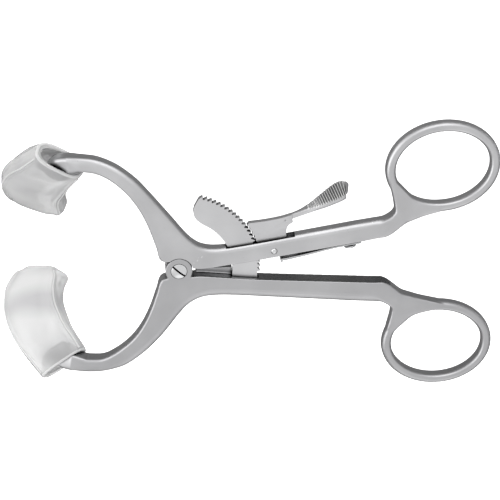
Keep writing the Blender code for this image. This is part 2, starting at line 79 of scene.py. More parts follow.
# Points on an arm's outer and inner edge, from the jaw to the handle's end
UPPER_STATIONS = (
    ((-29.7, 38.0), (-29.9, 33.2)),
    ((-24.6, 37.5), (-25.4, 32.9)),
    ((-18.7, 35.2), (-21.2, 31.2)),
    ((-13.2, 31.2), (-17.0, 27.9)),
    ((-9.3, 27.0), (-13.6, 23.9)),
    ((-5.4, 22.2), (-10.8, 19.0)),
    ((-1.4, 17.0), (-8.7, 13.6)),
    ((1.9, 12.6), (-7.0, 8.2)),
    ((4.6, 9.7), (-5.4, 3.6)),
    ((7.8, 7.8), (0.6, 3.0)),
    ((12.4, 7.2), (6.0, 0.5)),
    ((19.0, 8.0), (18.0, 1.8)),
    ((28.0, 9.4), (29.0, 3.4)),
    ((60.0, 14.6), (60.6, 8.4)),
    ((66.2, 15.6), (66.8, 9.4)),
    ((70.0, 18.0), (72.4, 13.8)),
)
LOWER_STATIONS = (
    ((-30.2, -38.4), (-30.2, -33.4)),
    ((-25.6, -37.9), (-25.6, -33.0)),
    ((-20.9, -36.4), (-22.0, -31.0)),
    ((-16.6, -34.1), (-18.2, -27.8)),
    ((-11.2, -29.3), (-14.6, -23.7)),
    ((-6.6, -24.2), (-11.6, -18.8)),
    ((-3.2, -19.8), (-9.2, -13.4)),
    ((-0.4, -16.0), (-7.3, -7.8)),
    ((2.8, -12.4), (-5.3, -2.9)),
    ((6.7, -10.2), (0.8, -2.7)),
    ((11.2, -9.6), (6.4, -2.1)),
    ((18.0, -9.9), (13.6, -2.8)),
    ((28.0, -10.9), (26.0, -4.1)),
    ((59.6, -14.0), (60.4, -6.6)),
    ((65.6, -14.6), (66.5, -7.1)),
    ((69.6, -16.6), (72.0, -11.4)),
)
# Tongue in a pad, from its root to its tip: centre, direction across, half width, half depth
TONGUE_STATIONS = (
    ((-33.8, 35.1, -2.6), (0.16, -0.98, -0.05), 3.0, 2.5),
    ((-36.2, 33.8, -3.6), (0.46, -0.88, -0.11), 4.0, 2.2),
    ((-38.0, 32.6, -4.7), (0.64, -0.76, -0.12), 3.6, 1.9),
    ((-39.4, 31.4, -5.8), (0.74, -0.66, -0.12), 2.6, 1.6),
)
TONGUE_STEPS = 5
TONGUE_ROUND = (1.2, 1.2)
SIDE_SHIFT = {1: 0.8, -1: -1.2}    # tongue and pad along X, on the upper and the lower side

# --- lap joint --------------------------------------------------------------------------------
EYE_RADIUS = 4.3
EYE_CLEARANCE = 0.22
EYE_INSET = 0.03
LAP_GAP = 0.12
CLEAR_FRONT = 9.0                  # heights well past the front and the rear, for cutters
CLEAR_REAR = -2.0

# --- finger rings -----------------------------------------------------------------------------
RING_HOLE_LONG = 15.0
RING_HOLE_SHORT = 12.0
RING_WIDTH = 3.3
RING_DEPTH = 4.4
RING_HOLE_ROUND = (1.1, 1.5)
RING_RIM_ROUND = (1.6, 1.6)
RING_SEGMENTS = 144
UPPER_RING = ((83.6, 32.3), 5.5)
LOWER_RING = ((84.3, -30.4), -3.5)
# Outlines of the webs between a handle and its ring
UPPER_WEB = (
    (63.0, 13.5), (67.6, 16.3), (68.8, 17.9), (68.3, 21.0), (67.0, 26.5),
    (69.5, 27.5), (75.0, 21.5), (84.0, 18.7), (84.0, 17.3), (78.0, 15.6),
    (72.6, 13.6), (69.2, 11.5), (67.2, 9.9), (63.0, 11.0),
)
LOWER_WEB = (
    (63.0, -12.5), (67.6, -15.4), (68.9, -16.8), (68.6, -19.6), (67.4, -24.5),
    (70.0, -25.5), (76.0, -19.6), (84.0, -17.7), (88.0, -17.4), (88.0, -16.8),
    (85.0, -15.6), (82.0, -14.7), (78.5, -13.65),
    (73.0, -11.8), (69.6, -9.9), (67.0, -8.2), (63.0, -9.5),
)
WEB_ROOT = (65.0, 11.0)            # a web thins with the distance from here
WEB_THINNING = (4.0, 13.0)
WEB_HALF = (2.66, 2.2)             # half thickness at the handle and at the ring
WEB_ROUND = 0.7
WEB_CENTRE = (70.0, 18.5)          # round here a forging is smoothed once more
WEB_REACH = (9.0, 15.0)
WEB_SMOOTH = 80

# --- pivot screw ------------------------------------------------------------------------------
SCREW_HEAD_RADIUS = 2.5
SCREW_SEAT_RADIUS = 2.66
SCREW_SHANK_RADIUS = 1.6
SCREW_SEAT_DEPTH = 1.3
SCREW_DOME = 0.5
SCREW_DOME_STEPS = 14
SCREW_SLOT = 0.62
SCREW_SLOT_DEPTH = 1.15
SCREW_SLOT_TURN = -42.0
BORE_ROOM = 0.1

# --- ratchet ----------------------------------------------------------------------------------
PLATE_THICK = 2.0
PLATE_LOW = ARM_MID - PLATE_THICK / 2
PLATE_BEVEL = 0.07
SLOT_WIDTH = 2.4
UPPER_SLOT_X = (15.0, 37.0)
FOOT_SLOT_X = (17.4, 25.6)
FOOT_SLOT_FLOOR = -8.0
# Painted reflection: faces of the lower handle's inner flank above the sloping line set here are
# coloured dark
PAINTED_FLANK_TOP = -4.6             # the lower handle's inner flank lies above this line
PAINTED_FLANK_SLOPE = -0.07
PAINTED_FLANK_START = 4.5
# Block on the lower arm that fills the corner between the pivot and the rack
SHOULDER = ((5.0, -4.5), (17.1, -4.5), (17.1, -0.8), (11.0, -0.7), (5.8, -0.5))
SHOULDER_HEIGHTS = (0.05, 2.0)
FRONT_GAP = 0.7                    # extra room in front of the plates, seen as a dark line
RACK_TIP_RADIUS = 26.0
RACK_BORE_RADIUS = 17.2
RACK_BORE_SWEEP = range(58, -10, -2)
TOOTH_DEPTH = 0.9
TOOTH_PITCH = 3.45                 # degrees
TOOTH_COUNT = 23
FIRST_TOOTH = -3.8                 # degrees
MESH_TOOTH = 7                     # the first tooth that the pawl stands over
PAWL_TEETH = 4
PAWL_LIFT = 0.08
PAWL_TOOTH_DEPTH = 0.4
RACK_END = ((5.3, 21.6), (4.9, 19.4), (5.8, 17.1), (8.0, 15.2))
RACK_FOOT = ((17.6, -7.6), (25.4, -7.6))
PAWL_PIVOT = (30.3, 5.9)
PAWL_PIN_RADIUS = 0.95
PAWL_PIN_ROOM = 0.08
PAWL_HEEL = ((24.7, 8.9), (27.3, 4.9), (28.6, 3.9), (30.6, 3.4), (32.9, 3.3), (34.0, 4.6))
PAWL_BACK = ((34.3, 8.0), (34.3, 12.0), (34.9, 13.9), (36.4, 15.0))
PAWL_TOP = ((36.0, 17.6), (32.6, 16.6), (27.4, 15.7), (22.4, 15.2))
PAWL_DIMPLE = (34.0, 15.7)
# Thumb lever: a point on its top edge, thickness and half width
LEVER_STATIONS = (
    ((34.6, 17.2), 1.7, 1.0),
    ((38.6, 18.8), 1.9, 1.2),
    ((42.4, 20.8), 2.1, 2.0),
    ((45.8, 22.8), 2.3, 3.1),
    ((49.0, 24.8), 2.4, 4.0),
    ((51.2, 26.0), 2.3, 4.2),
    ((52.8, 26.5), 2.0, 3.6),
    ((53.9, 26.1), 1.4, 2.2),
)
LEVER_STEPS = 40
LEVER_TILT = math.radians(26.0)    # how far the thumb face leans to the front
LEVER_DROP = -0.7                  # how far a full quarter turn of tilt would lower the lever
LEVER_NARROW = 0.80
LEVER_RIB_START = 0.34             # shares of the lever's length
LEVER_RIB_END = 0.965
LEVER_RIB_FULL = 0.7
LEVER_RIBS = 17
LEVER_GROOVE = 0.42
WORN_START_X = 41.0
THUMB_FACE = Vector((-0.38, 0.80, 0.46)).normalized()

# --- leaf spring ------------------------------------------------------------------------------
LEAF_THICK = 0.7
LEAF_WIDTH = 3.6
LEAF_TOP = ((58.2, 7.75), (50.0, 6.4), (42.0, 4.5), (35.2, 3.0), (33.4, 2.75))
LEAF_LIP_RADIUS = 0.75
LEAF_LIP_SWEEP = range(96, 262, 8)
LEAF_ROUND = (0.15, 0.15)
LEAF_HOLE_RADIUS = 1.15
SPRING_SCREW_X = 54.6
SPRING_SCREW_RADIUS = 0.98
SPRING_SCREW_HOLE = 1.2
# Head of the spring screw: share of its height, and radius
SPRING_SCREW_HEAD = ((0, 2.0), (0.06, 2.1), (0.4, 2.1), (0.62, 1.95), (0.82, 1.6), (0.95, 1.1), (1, 0.6))
SPRING_SCREW_HEAD_HEIGHT = 1.15
# The straight inner edge of the upper handle, which the leaf spring lies under
HANDLE_EDGE = ((29.0, 3.4), (66.8, 9.4))
HANDLE_SLOPE = math.atan2(HANDLE_EDGE[1][1] - HANDLE_EDGE[0][1], HANDLE_EDGE[1][0] - HANDLE_EDGE[0][0])

# --- pads -------------------------------------------------------------------------------------
# From the mouth to the far end: centre, direction across, half width, half depth
PAD_STATIONS = (
    ((-36.9, 36.0, -2.9), (0.83, -0.53, -0.10), 8.4, 4.2),
    ((-40.9, 31.6, -7.7), (0.90, -0.42, -0.05), 9.2, 5.1),
    ((-44.1, 26.9, -11.7), (0.90, -0.38, 0.08), 10.1, 4.8),
    ((-46.1, 22.4, -15.6), (0.92, -0.30, 0.18), 10.4, 4.2),
    ((-46.3, 18.2, -19.0), (0.93, -0.24, 0.26), 10.3, 3.7),
    ((-45.5, 14.4, -22.0), (0.91, -0.20, 0.36), 9.9, 3.3),
    ((-44.8, 12.0, -24.0), (0.885, -0.17, 0.43), 8.0, 2.4),
)
PAD_STEPS = 8
PAD_RING_POINTS = 72
# Rounded far end: distance past the last row, and how far the section has shrunk
PAD_END = ((0.5, 0.93), (0.85, 0.8), (1.05, 0.6), (1.12, 0.3))
# Share of a pad's length, and how far its outer and its inner edge are drawn in there
UPPER_TRIM = ((0.0, 0.0, 0.0), (0.7, 0.0, 0.0), (0.9, -0.5, 0.0), (1.0, -1.3, 0.2))
LOWER_TRIM = ((0.0, 0.0, 0.0), (0.3, 0.0, 0.9), (0.7, 0.2, 1.3), (0.88, 1.4, 0.8), (1.0, 3.2, 0.2))
# Flanges on a pad's edges, at the cut end and at the far end: thickness, reach to the rear,
# and how far past the edge they stand. The first is the inner edge's.
UPPER_FLANGES = (
    (1, (1.1, 1.2), (1.6, 2.5), (-0.7, -1.4)),
    (-1, (1.1, 1.1), (0.3, 3.6), (-0.5, -1.2)),
)
LOWER_FLANGES = (
    (1, (1.1, 1.9), (0.6, 4.4), (-0.9, 0.2)),
    (-1, (1.1, 1.1), (2.4, 3.2), (-0.6, -1.2)),
)
FLANGE_POINTS = 24
PAD_POWER = 2.9                    # squareness of a pad's section
PAD_BEAD = 0.5                     # height of the soft swelling near both long edges
PAD_BEAD_PLACE = 0.86              # its place and width, as shares of the half width
PAD_BEAD_WIDTH = 0.07
PAD_DISH = 0.35                    # how far the face between them is hollowed
PAD_DISH_REACH = 0.8
BEAD_PLACE = (0.90, 0.68)          # fine bead: shares of the half width and half depth
BEAD_RADIUS = 0.3
RIM_RADIUS = 0.55
TUBE_POINTS = 12
PAD_VOXEL = 0.24
PAD_SMOOTH = 2                     # smoothing rounds over a whole pad
POCKET_STEPS = 6
POCKET_ROWS = 6
POCKET_WALL = (1.7, 1.3)           # wall at the sides, and at the front and rear
POCKET_PAST_MOUTH = 1.5

# --- materials: noise scales per metre, heights and reach in metres ---------------------------
GRAIN_SCALE = 2600.0
GRAIN_HEIGHT = 0.00004
CLOUD_SCALE = 70.0
WEAR_POINTINESS = (0.62, 0.80)
WORN_COLOUR = (0.86, 0.86, 0.87)
# Painted shade in crevices: reach of the occlusion probe, span of openness over which it fades, and the
# nearly black colour painted there
CREVICE_SHADE_REACH = 0.0016
CREVICE_SHADE_OPENNESS = (0.38, 0.85)
CREVICE_SHADE_COLOUR = (0.012, 0.012, 0.013)
# Scale of the painted shade bands on the pads, and the height of their bump
SHADE_BAND_SCALE = 95.0
BAND_HEIGHT = 0.0003
SCUFF_SCALE = 900.0

# --- stage, in metres -------------------------------------------------------------------------
FLOOR_HALF = 3.0
FLOOR_GAP = 0.0006
CARD_HALF = 0.6
CARD_GAP = 0.0003

# --- camera -----------------------------------------------------------------------------------
CAMERA_PLACE = (-19.94, 249.52, 501.48)
CAMERA_RIGHT = (0.99635, 0.0, 0.08542)
CAMERA_UP = (0.03745, 0.89880, -0.43677)
CAMERA_BACK = (-0.07677, 0.43837, 0.89551)
CAMERA_LENS = 126.0
CAMERA_SENSOR = 36.0

# --- light ------------------------------------------------------------------------------------
SKY_BASE = 0.16
# Soft patches: direction, cosines of the angle to it where a patch begins and is full, strength
SKY = (
    ((0.0, 0.0, 1.0), -0.05, 0.75, 0.66),
    ((0.0, 0.80, 0.60), 0.84, 0.98, 1.05),
    ((-0.78, 0.1, 0.62), 0.86, 0.98, 1.0),
    ((0.1, -0.9, 0.40), 0.88, 0.98, 0.5),
    ((-0.9, -0.3, 0.35), 0.88, 0.98, 0.8),
    ((-0.78, 0.6, 0.2), 0.90, 0.985, 0.7),
)


# === mesh tools ===============================================================================

def new_object(name, bm):
    """Turn a bmesh into an object with its normals outwards."""
    bmesh.ops.recalc_face_normals(bm, faces=bm.faces)
    mesh = bpy.data.meshes.new(name)
    bm.to_mesh(mesh)
    bm.free()
    obj = bpy.data.objects.new(name, mesh)
    bpy.context.collection.objects.link(obj)
    return obj


def loft(name, sections, closed=False):
    """Skin over a row of sections that have the same number of points."""
    bm = bmesh.new()
    rings = [[bm.verts.new(point) for point in section] for section in sections]
    pairs = list(zip(rings, rings[1:]))
    if closed:
        pairs.append((rings[-1], rings[0]))
    count = len(rings[0])
    for first, second in pairs:
        for i in range(count):
            j = (i + 1) % count
            bm.faces.new((first[i], first[j], second[j], second[i]))
    if not closed:
        bm.faces.new(rings[0])
        bm.faces.new(rings[-1])
    return new_object(name, bm)


def plate(name, outline, low, high):
    """Flat plate with an (x, y) outline between two heights."""
    bm = bmesh.new()
    face = bm.faces.new([bm.verts.new((x, y, low)) for x, y in outline])
    lifted = bmesh.ops.extrude_face_region(bm, geom=[face])
    top = [item for item in lifted["geom"] if isinstance(item, bmesh.types.BMVert)]
    bmesh.ops.translate(bm, verts=top, vec=(0, 0, high - low))
    return new_object(name, bm)


def turned(name, profile, centre=(0.0, 0.0), segments=96):
    """Turn (radius, z) pairs about a vertical axis; the profile runs from axis to axis."""
    bm = bmesh.new()
    rings = []
    for radius, z in profile:
        if radius == 0.0:
            rings.append([bm.verts.new((centre[0], centre[1], z))])
            continue
        ring = []
        for i in range(segments):
            angle = 2 * math.pi * (i + 0.3) / segments
            x = centre[0] + radius * math.cos(angle)
            y = centre[1] + radius * math.sin(angle)
            ring.append(bm.verts.new((x, y, z)))
        rings.append(ring)
    for first, second in zip(rings, rings[1:]):
        for i in range(segments):
            j = (i + 1) % segments
            corners = [first[i % len(first)], first[j % len(first)]]
            corners += [second[j % len(second)], second[i % len(second)]]
            bm.faces.new(list(dict.fromkeys(corners)))
    return new_object(name, bm)


def box(name, low, high):
    corners = ((low[0], low[1]), (high[0], low[1]), (high[0], high[1]), (low[0], high[1]))
    return plate(name, corners, low[2], high[2])


def disc(name, radius, low, high, centre=(0.0, 0.0)):
    return turned(name, ((0.0, low), (radius, low), (radius, high), (0.0, high)), centre)


def bake(obj):
    """Replace an object's mesh by the result of its modifiers."""
    graph = bpy.context.evaluated_depsgraph_get()
    solid = bpy.data.meshes.new_from_object(obj.evaluated_get(graph))
    obj.modifiers.clear()
    obj.data = solid
    return obj


def cut(target, tool):
    """Take a tool away from a target, and drop the tool."""
    modifier = target.modifiers.new("cut", "BOOLEAN")
    modifier.object = tool
    modifier.operation = "DIFFERENCE"
    modifier.solver = "EXACT"
    bake(target)
    bpy.data.objects.remove(tool, do_unlink=True)


def join(target, *others):
    """Put the meshes of several closed shells into one object."""
    bm = bmesh.new()
    bm.from_mesh(target.data)
    for other in others:
        bm.from_mesh(other.data)
        bpy.data.objects.remove(other, do_unlink=True)
    bm.to_mesh(target.data)
    bm.free()
    return target


def bevelled(obj, width, segments, angle):
    """Bevel the edges that turn by more than an angle in degrees."""
    modifier = obj.modifiers.new("edges", "BEVEL")
    modifier.width = width
    modifier.segments = segments
    modifier.limit_method = "ANGLE"
    modifier.angle_limit = math.radians(angle)
    return bake(obj)


def forged(obj, voxel=VOXEL, rounds=FORGING_SMOOTH):
    """Melt overlapping shells into one skin with softened inside corners."""
    remesh = obj.modifiers.new("melt", "REMESH")
    remesh.mode = "VOXEL"
    remesh.voxel_size = voxel
    smooth = obj.modifiers.new("soften", "SMOOTH")
    smooth.factor = 0.5
    smooth.iterations = rounds
    return bake(obj)


def soften_web(obj, side):
    """Blend the handle, web and ring into each other, as on a ground forging."""
    group = obj.vertex_groups.new(name="web")
    centre = Vector((WEB_CENTRE[0], side * WEB_CENTRE[1]))
    for vertex in obj.data.vertices:
        away = (Vector(vertex.co[:2]) - centre).length
        weight = 1 - smoothstep(*WEB_REACH, away)
        if weight > 0:
            group.add([vertex.index], weight, "REPLACE")
    smooth = obj.modifiers.new("blend", "SMOOTH")
    smooth.factor = 0.5
    smooth.iterations = WEB_SMOOTH
    smooth.vertex_group = "web"
    return bake(obj)


def finish(obj, material, body, node, smooth_angle=35.0, second=None):
    """Scale a piece to metres, give it its materials, attach it to its body and hide the CAD part it
    stands for.
    """
    obj.data.transform(Matrix.Scale(MM, 4))
    slots = [face.material_index for face in obj.data.polygons]
    obj.data.materials.clear()
    obj.data.materials.append(material)
    if second:
        obj.data.materials.append(second)
        obj.data.polygons.foreach_set("material_index", slots)
    obj.data.shade_smooth()
    obj.data.set_sharp_from_angle(angle=math.radians(smooth_angle))
    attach(obj, body)
    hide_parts(node)
    return obj


def smooth_path(points, steps):
    """Smooth curve through rows of numbers, as steps rows for each stretch and the last row."""
    vectors = [Vector(point) for point in points]
    path = []
    for i in range(len(vectors) - 1):
        before = vectors[max(i - 1, 0)]
        start = vectors[i]
        end = vectors[i + 1]
        after = vectors[min(i + 2, len(vectors) - 1)]
        for k in range(steps):
            t = k / steps
            path.append(0.5 * (
                2 * start
                + (end - before) * t
                + (2 * before - 5 * start + 4 * end - after) * t * t
                + (3 * start - before - 3 * end + after) * t * t * t
            ))
    path.append(vectors[-1])
    return path


def blend_value(low, high, share):
    """Value between two others at a share of the way."""
    return low + (high - low) * share


def smoothstep(low, high, value):
    """Share from 0 at low to 1 at high, with soft ends."""
    t = min(1.0, max(0.0, (value - low) / (high - low)))
    return t * t * (3 - 2 * t)


# === materials ================================================================================

def node_material(name):
    """New material, with its nodes, its links and its shader."""
    material = bpy.data.materials.new(name)
    material.use_nodes = True
    nodes = material.node_tree.nodes
    return material, nodes, material.node_tree.links, nodes["Principled BSDF"]


def noise_map(nodes, links, scale, stretch, detail, turn=0.0):
    """Noise in object space, stretched along one axis for a drawn grain or a band."""
    place = nodes.new("ShaderNodeTexCoord")
    mapping = nodes.new("ShaderNodeMapping")
    mapping.inputs["Scale"].default_value = stretch
    mapping.inputs["Rotation"].default_value = (0.0, 0.0, turn)
    noise = nodes.new("ShaderNodeTexNoise")
    noise.inputs["Scale"].default_value = scale
    noise.inputs["Detail"].default_value = detail
    links.new(place.outputs["Object"], mapping.inputs["Vector"])
    links.new(mapping.outputs["Vector"], noise.inputs["Vector"])
    return noise.outputs["Fac"]


def spread(nodes, links, source, span, result=(0.0, 1.0)):
    """Spread a span of a value over another span, clamped."""
    node = nodes.new("ShaderNodeMapRange")
    node.inputs["From Min"].default_value, node.inputs["From Max"].default_value = span
    node.inputs["To Min"].default_value, node.inputs["To Max"].default_value = result
    links.new(source, node.inputs["Value"])
    return node.outputs["Result"]


def mixed_colour(nodes, links, factor, first, second):
    """Mix of two colours; each is three numbers or another node's output."""
    node = nodes.new("ShaderNodeMix")
    node.data_type = "RGBA"
    links.new(factor, node.inputs["Factor"])
    for colour, socket in ((first, node.inputs["A"]), (second, node.inputs["B"])):
        if isinstance(colour, tuple):
            socket.default_value = (*colour, 1.0)
        else:
            links.new(colour, socket)
    return node.outputs["Result"]


def relief(nodes, links, shader, height, strength, distance):
    """Bump the surface by a value."""
    bump = nodes.new("ShaderNodeBump")
    bump.inputs["Strength"].default_value = strength
    bump.inputs["Distance"].default_value = distance
    links.new(height, bump.inputs["Height"])
    links.new(bump.outputs["Normal"], shader.inputs["Normal"])


def steel(name, dark, light, roughness, bump, grain=(1.0, 1.0, 1.0), grain_turn=0.0):
    """Satin steel: fine grain, cloudy tone, brighter worn edges, and painted shade that darkens its
    crevices, gaps and inside corners.
    """
    material, nodes, links, shader = node_material(name)
    shader.inputs["Metallic"].default_value = 1.0
    fine = noise_map(nodes, links, GRAIN_SCALE, grain, 3.0, grain_turn)
    cloud = noise_map(nodes, links, CLOUD_SCALE, (1.0, 1.0, 1.0), 5.0)
    colour = mixed_colour(nodes, links, spread(nodes, links, cloud, (0.3, 0.7)), dark, light)
    edges = nodes.new("ShaderNodeNewGeometry").outputs["Pointiness"]
    wear = spread(nodes, links, edges, WEAR_POINTINESS)
    polished = mixed_colour(nodes, links, wear, colour, WORN_COLOUR)
    # Painted shade: where ambient occlusion finds a crevice, gap or inside corner, the colour turns
    # nearly black.
    shade_probe = nodes.new("ShaderNodeAmbientOcclusion")
    shade_probe.inputs["Distance"].default_value = CREVICE_SHADE_REACH
    unshaded = spread(nodes, links, shade_probe.outputs["AO"], CREVICE_SHADE_OPENNESS)
    links.new(mixed_colour(nodes, links, unshaded, CREVICE_SHADE_COLOUR, polished),
              shader.inputs["Base Color"])
    links.new(spread(nodes, links, fine, (0.25, 0.75), roughness), shader.inputs["Roughness"])
    relief(nodes, links, shader, fine, bump, GRAIN_HEIGHT)
    return material


def clear_plastic(name, dark, light, transmission):
    """Clear moulded plastic, slightly milky, with soft bands of painted shade across it and fine scuffs.
    """
    material, nodes, links, shader = node_material(name)
    shader.inputs["IOR"].default_value = 1.45
    shader.inputs["Transmission Weight"].default_value = transmission
    shader.inputs["Coat Weight"].default_value = 0.6
    shader.inputs["Coat Roughness"].default_value = 0.06
    # Painted shade: darker and lighter bands across the pad stand in for the shading of its curved
    # faces; the same noise also bumps the surface slightly.
    shade_band = noise_map(nodes, links, SHADE_BAND_SCALE, (0.18, 1.0, 1.0), 0.6)
    colour = mixed_colour(nodes, links, spread(nodes, links, shade_band, (0.34, 0.62)), dark, light)
    links.new(colour, shader.inputs["Base Color"])
    scuff = noise_map(nodes, links, SCUFF_SCALE, (1.0, 0.3, 1.0), 6.0)
    links.new(spread(nodes, links, scuff, (0.3, 0.75), (0.05, 0.12)), shader.inputs["Roughness"])
    relief(nodes, links, shader, shade_band, 0.25, BAND_HEIGHT)
    return material


# === arms =====================================================================================

def jaw_drop(x, y):
    """How far a jaw's middle lies to the rear of the arm's."""
    if x > 0:
        return 0.0
    beyond = max(0.0, math.hypot(x, y) - JAW_BEND_START) / JAW_BEND_SPAN
    return -JAW_BEND_DEPTH * beyond * beyond


def soft_section(centre, across, normal, half_width, half_depth, inner, outer):
    """Rectangle with elliptical corners: inner rounding at +across, outer at -across."""
    points = []
    for side, face in ((1, 1), (-1, 1), (-1, -1), (1, -1)):
        wide, deep = inner if side > 0 else outer
        wide = min(wide, half_width * 0.98)
        deep = min(deep, half_depth * 0.98)
        angles = [0.5 * math.pi * k / (CORNER_POINTS - 1) for k in range(CORNER_POINTS)]
        if side * face < 0:
            angles.reverse()
        for angle in angles:
            reach = half_width - wide + wide * math.cos(angle)
            rise = half_depth - deep + deep * math.sin(angle)
            points.append(centre + across * (side * reach) + normal * (face * rise))
    return points


def framed_rows(stations, side, steps):
    """Rows of centre, across, normal, half width, half depth and along; side -1 is mirrored."""
    flat = []
    for centre, across, half_width, half_depth in stations:
        row = (centre[0] + SIDE_SHIFT[side], side * centre[1], centre[2])
        flat.append(row + (across[0], side * across[1], across[2], half_width, half_depth))
    rows = smooth_path(flat, steps)
    placed = []
    for i, row in enumerate(rows):
        ahead = rows[min(i + 1, len(rows) - 1)]
        behind = rows[max(i - 1, 0)]
        along = (Vector(ahead[:3]) - Vector(behind[:3])).normalized()
        across = Vector(row[3:6]).normalized()
        normal = along.cross(across).normalized()
        placed.append((Vector(row[:3]), across, normal, row[6], row[7], along))
    return placed


def arm_bar(name, stations, side):
    """Bar of an arm, from the tip of its tongue to the end of its handle."""
    sections = []
    for row in framed_rows(TONGUE_STATIONS[::-1], side, TONGUE_STEPS):
        sections.append(soft_section(*row[:5], TONGUE_ROUND, TONGUE_ROUND))
    rows = smooth_path([outer + inner for outer, inner in stations], ARM_STEPS)
    middles = []
    for row in rows:
        middle = Vector(((row[0] + row[2]) / 2, (row[1] + row[3]) / 2, ARM_MID))
        middle.z += jaw_drop(middle.x, middle.y)
        middles.append(middle)
    for i, (row, centre) in enumerate(zip(rows, middles)):
        along = middles[min(i + 1, len(rows) - 1)] - middles[max(i - 1, 0)]
        reach = Vector((row[2] - row[0], row[3] - row[1], 0.0))
        across = reach.normalized()
        normal = along.cross(across).normalized()
        share = smoothstep(*ROUND_CHANGE_X, centre.x)
        inner_round = [blend_value(a, b, share) for a, b in zip(JAW_INNER_ROUND, HANDLE_INNER_ROUND)]
        outer_round = [blend_value(a, b, share) for a, b in zip(JAW_OUTER_ROUND, HANDLE_OUTER_ROUND)]
        sections.append(soft_section(
            centre, across, normal, reach.length / 2, ARM_DEPTH / 2, inner_round, outer_round))
    return loft(name, sections)


def finger_ring(name, centre, tilt):
    """Oval ring; its long axis is tilted by some degrees from the X axis."""
    turn = Matrix.Rotation(math.radians(tilt), 3, "Z")
    long_axis = RING_HOLE_LONG + RING_WIDTH / 2
    short_axis = RING_HOLE_SHORT + RING_WIDTH / 2
    sections = []
    for i in range(RING_SEGMENTS):
        angle = 2 * math.pi * i / RING_SEGMENTS
        spot = Vector((long_axis * math.cos(angle), short_axis * math.sin(angle), 0.0))
        out = Vector((math.cos(angle) / long_axis, math.sin(angle) / short_axis, 0.0)).normalized()
        place = turn @ spot + Vector((centre[0], centre[1], ARM_MID))
        sections.append(soft_section(
            place, turn @ -out, Vector((0, 0, 1)), RING_WIDTH / 2, RING_DEPTH / 2,
            RING_HOLE_ROUND, RING_RIM_ROUND))
    return loft(name, sections, closed=True)


def web(name, outline):
    """Web between a handle and its ring, thinner towards the ring, with its rim rounded."""
    block = plate(name, outline, ARM_MID - 1, ARM_MID + 1)
    for vertex in block.data.vertices:
        away = math.hypot(vertex.co.x - WEB_ROOT[0], abs(vertex.co.y) - WEB_ROOT[1])
        half = blend_value(*WEB_HALF, smoothstep(*WEB_THINNING, away))
        vertex.co.z = ARM_MID + math.copysign(half, vertex.co.z - ARM_MID)
    return bevelled(block, WEB_ROUND, 3, 60.0)


def eye_place(side):
    """Height range of an arm's own half eye."""
    if side > 0:
        return EYE_INSET, ARM_MID - LAP_GAP
    return ARM_MID + LAP_GAP, ARM_DEPTH - EYE_INSET


def handle_point(x, below):
    """Point under the upper handle's inner edge, square to it; a negative below is inside it."""
    y = HANDLE_EDGE[0][1] + (x - HANDLE_EDGE[0][0]) * math.tan(HANDLE_SLOPE)
    return Vector((x + below * math.sin(HANDLE_SLOPE), y - below * math.cos(HANDLE_SLOPE), ARM_MID))


def tilted_round(name, start, end, profile, segments=48):
    """Solid turned about the line between two points; profile is (share of line, radius)."""
    along = (end - start).normalized()
    across = Vector((0, 0, 1))
    normal = along.cross(across)
    sections = []
    for share, radius in profile:
        centre = start.lerp(end, share)
        ring = []
        for i in range(segments):
            angle = 2 * math.pi * i / segments
            ring.append(centre + (across * math.cos(angle) + normal * math.sin(angle)) * radius)
        sections.append(ring)
    return loft(name, sections)


def build_upper_arm(material):
    arm = arm_bar("upper_arm_forging", UPPER_STATIONS, 1)
    low, high = eye_place(1)
    join(arm, finger_ring("ring", *UPPER_RING), web("web", UPPER_WEB),
         disc("eye", EYE_RADIUS, low, high))
    forged(arm)
    soften_web(arm, 1)
    slot_low = (UPPER_SLOT_X[0], -1.0, ARM_MID - SLOT_WIDTH / 2)
    slot_high = (UPPER_SLOT_X[1], 16.0, ARM_MID + SLOT_WIDTH / 2 + FRONT_GAP)
    cutters = join(
        disc("recess", EYE_RADIUS + EYE_CLEARANCE, ARM_MID, CLEAR_FRONT),
        box("slot", slot_low, slot_high),
        tilted_round("screw_hole", handle_point(SPRING_SCREW_X, 2.0),
                     handle_point(SPRING_SCREW_X, -4.3),
                     ((0, SPRING_SCREW_HOLE), (1, SPRING_SCREW_HOLE))),
    )
    cut(arm, cutters)
    pin_hole = PAWL_PIN_RADIUS + PAWL_PIN_ROOM
    holes = join(disc("bore", SCREW_SHANK_RADIUS + BORE_ROOM, CLEAR_REAR, CLEAR_FRONT),
                 disc("pin_hole", pin_hole, CLEAR_REAR, CLEAR_FRONT, PAWL_PIVOT))
    cut(arm, holes)
    return finish(arm, material, "upper", "upper_arm")


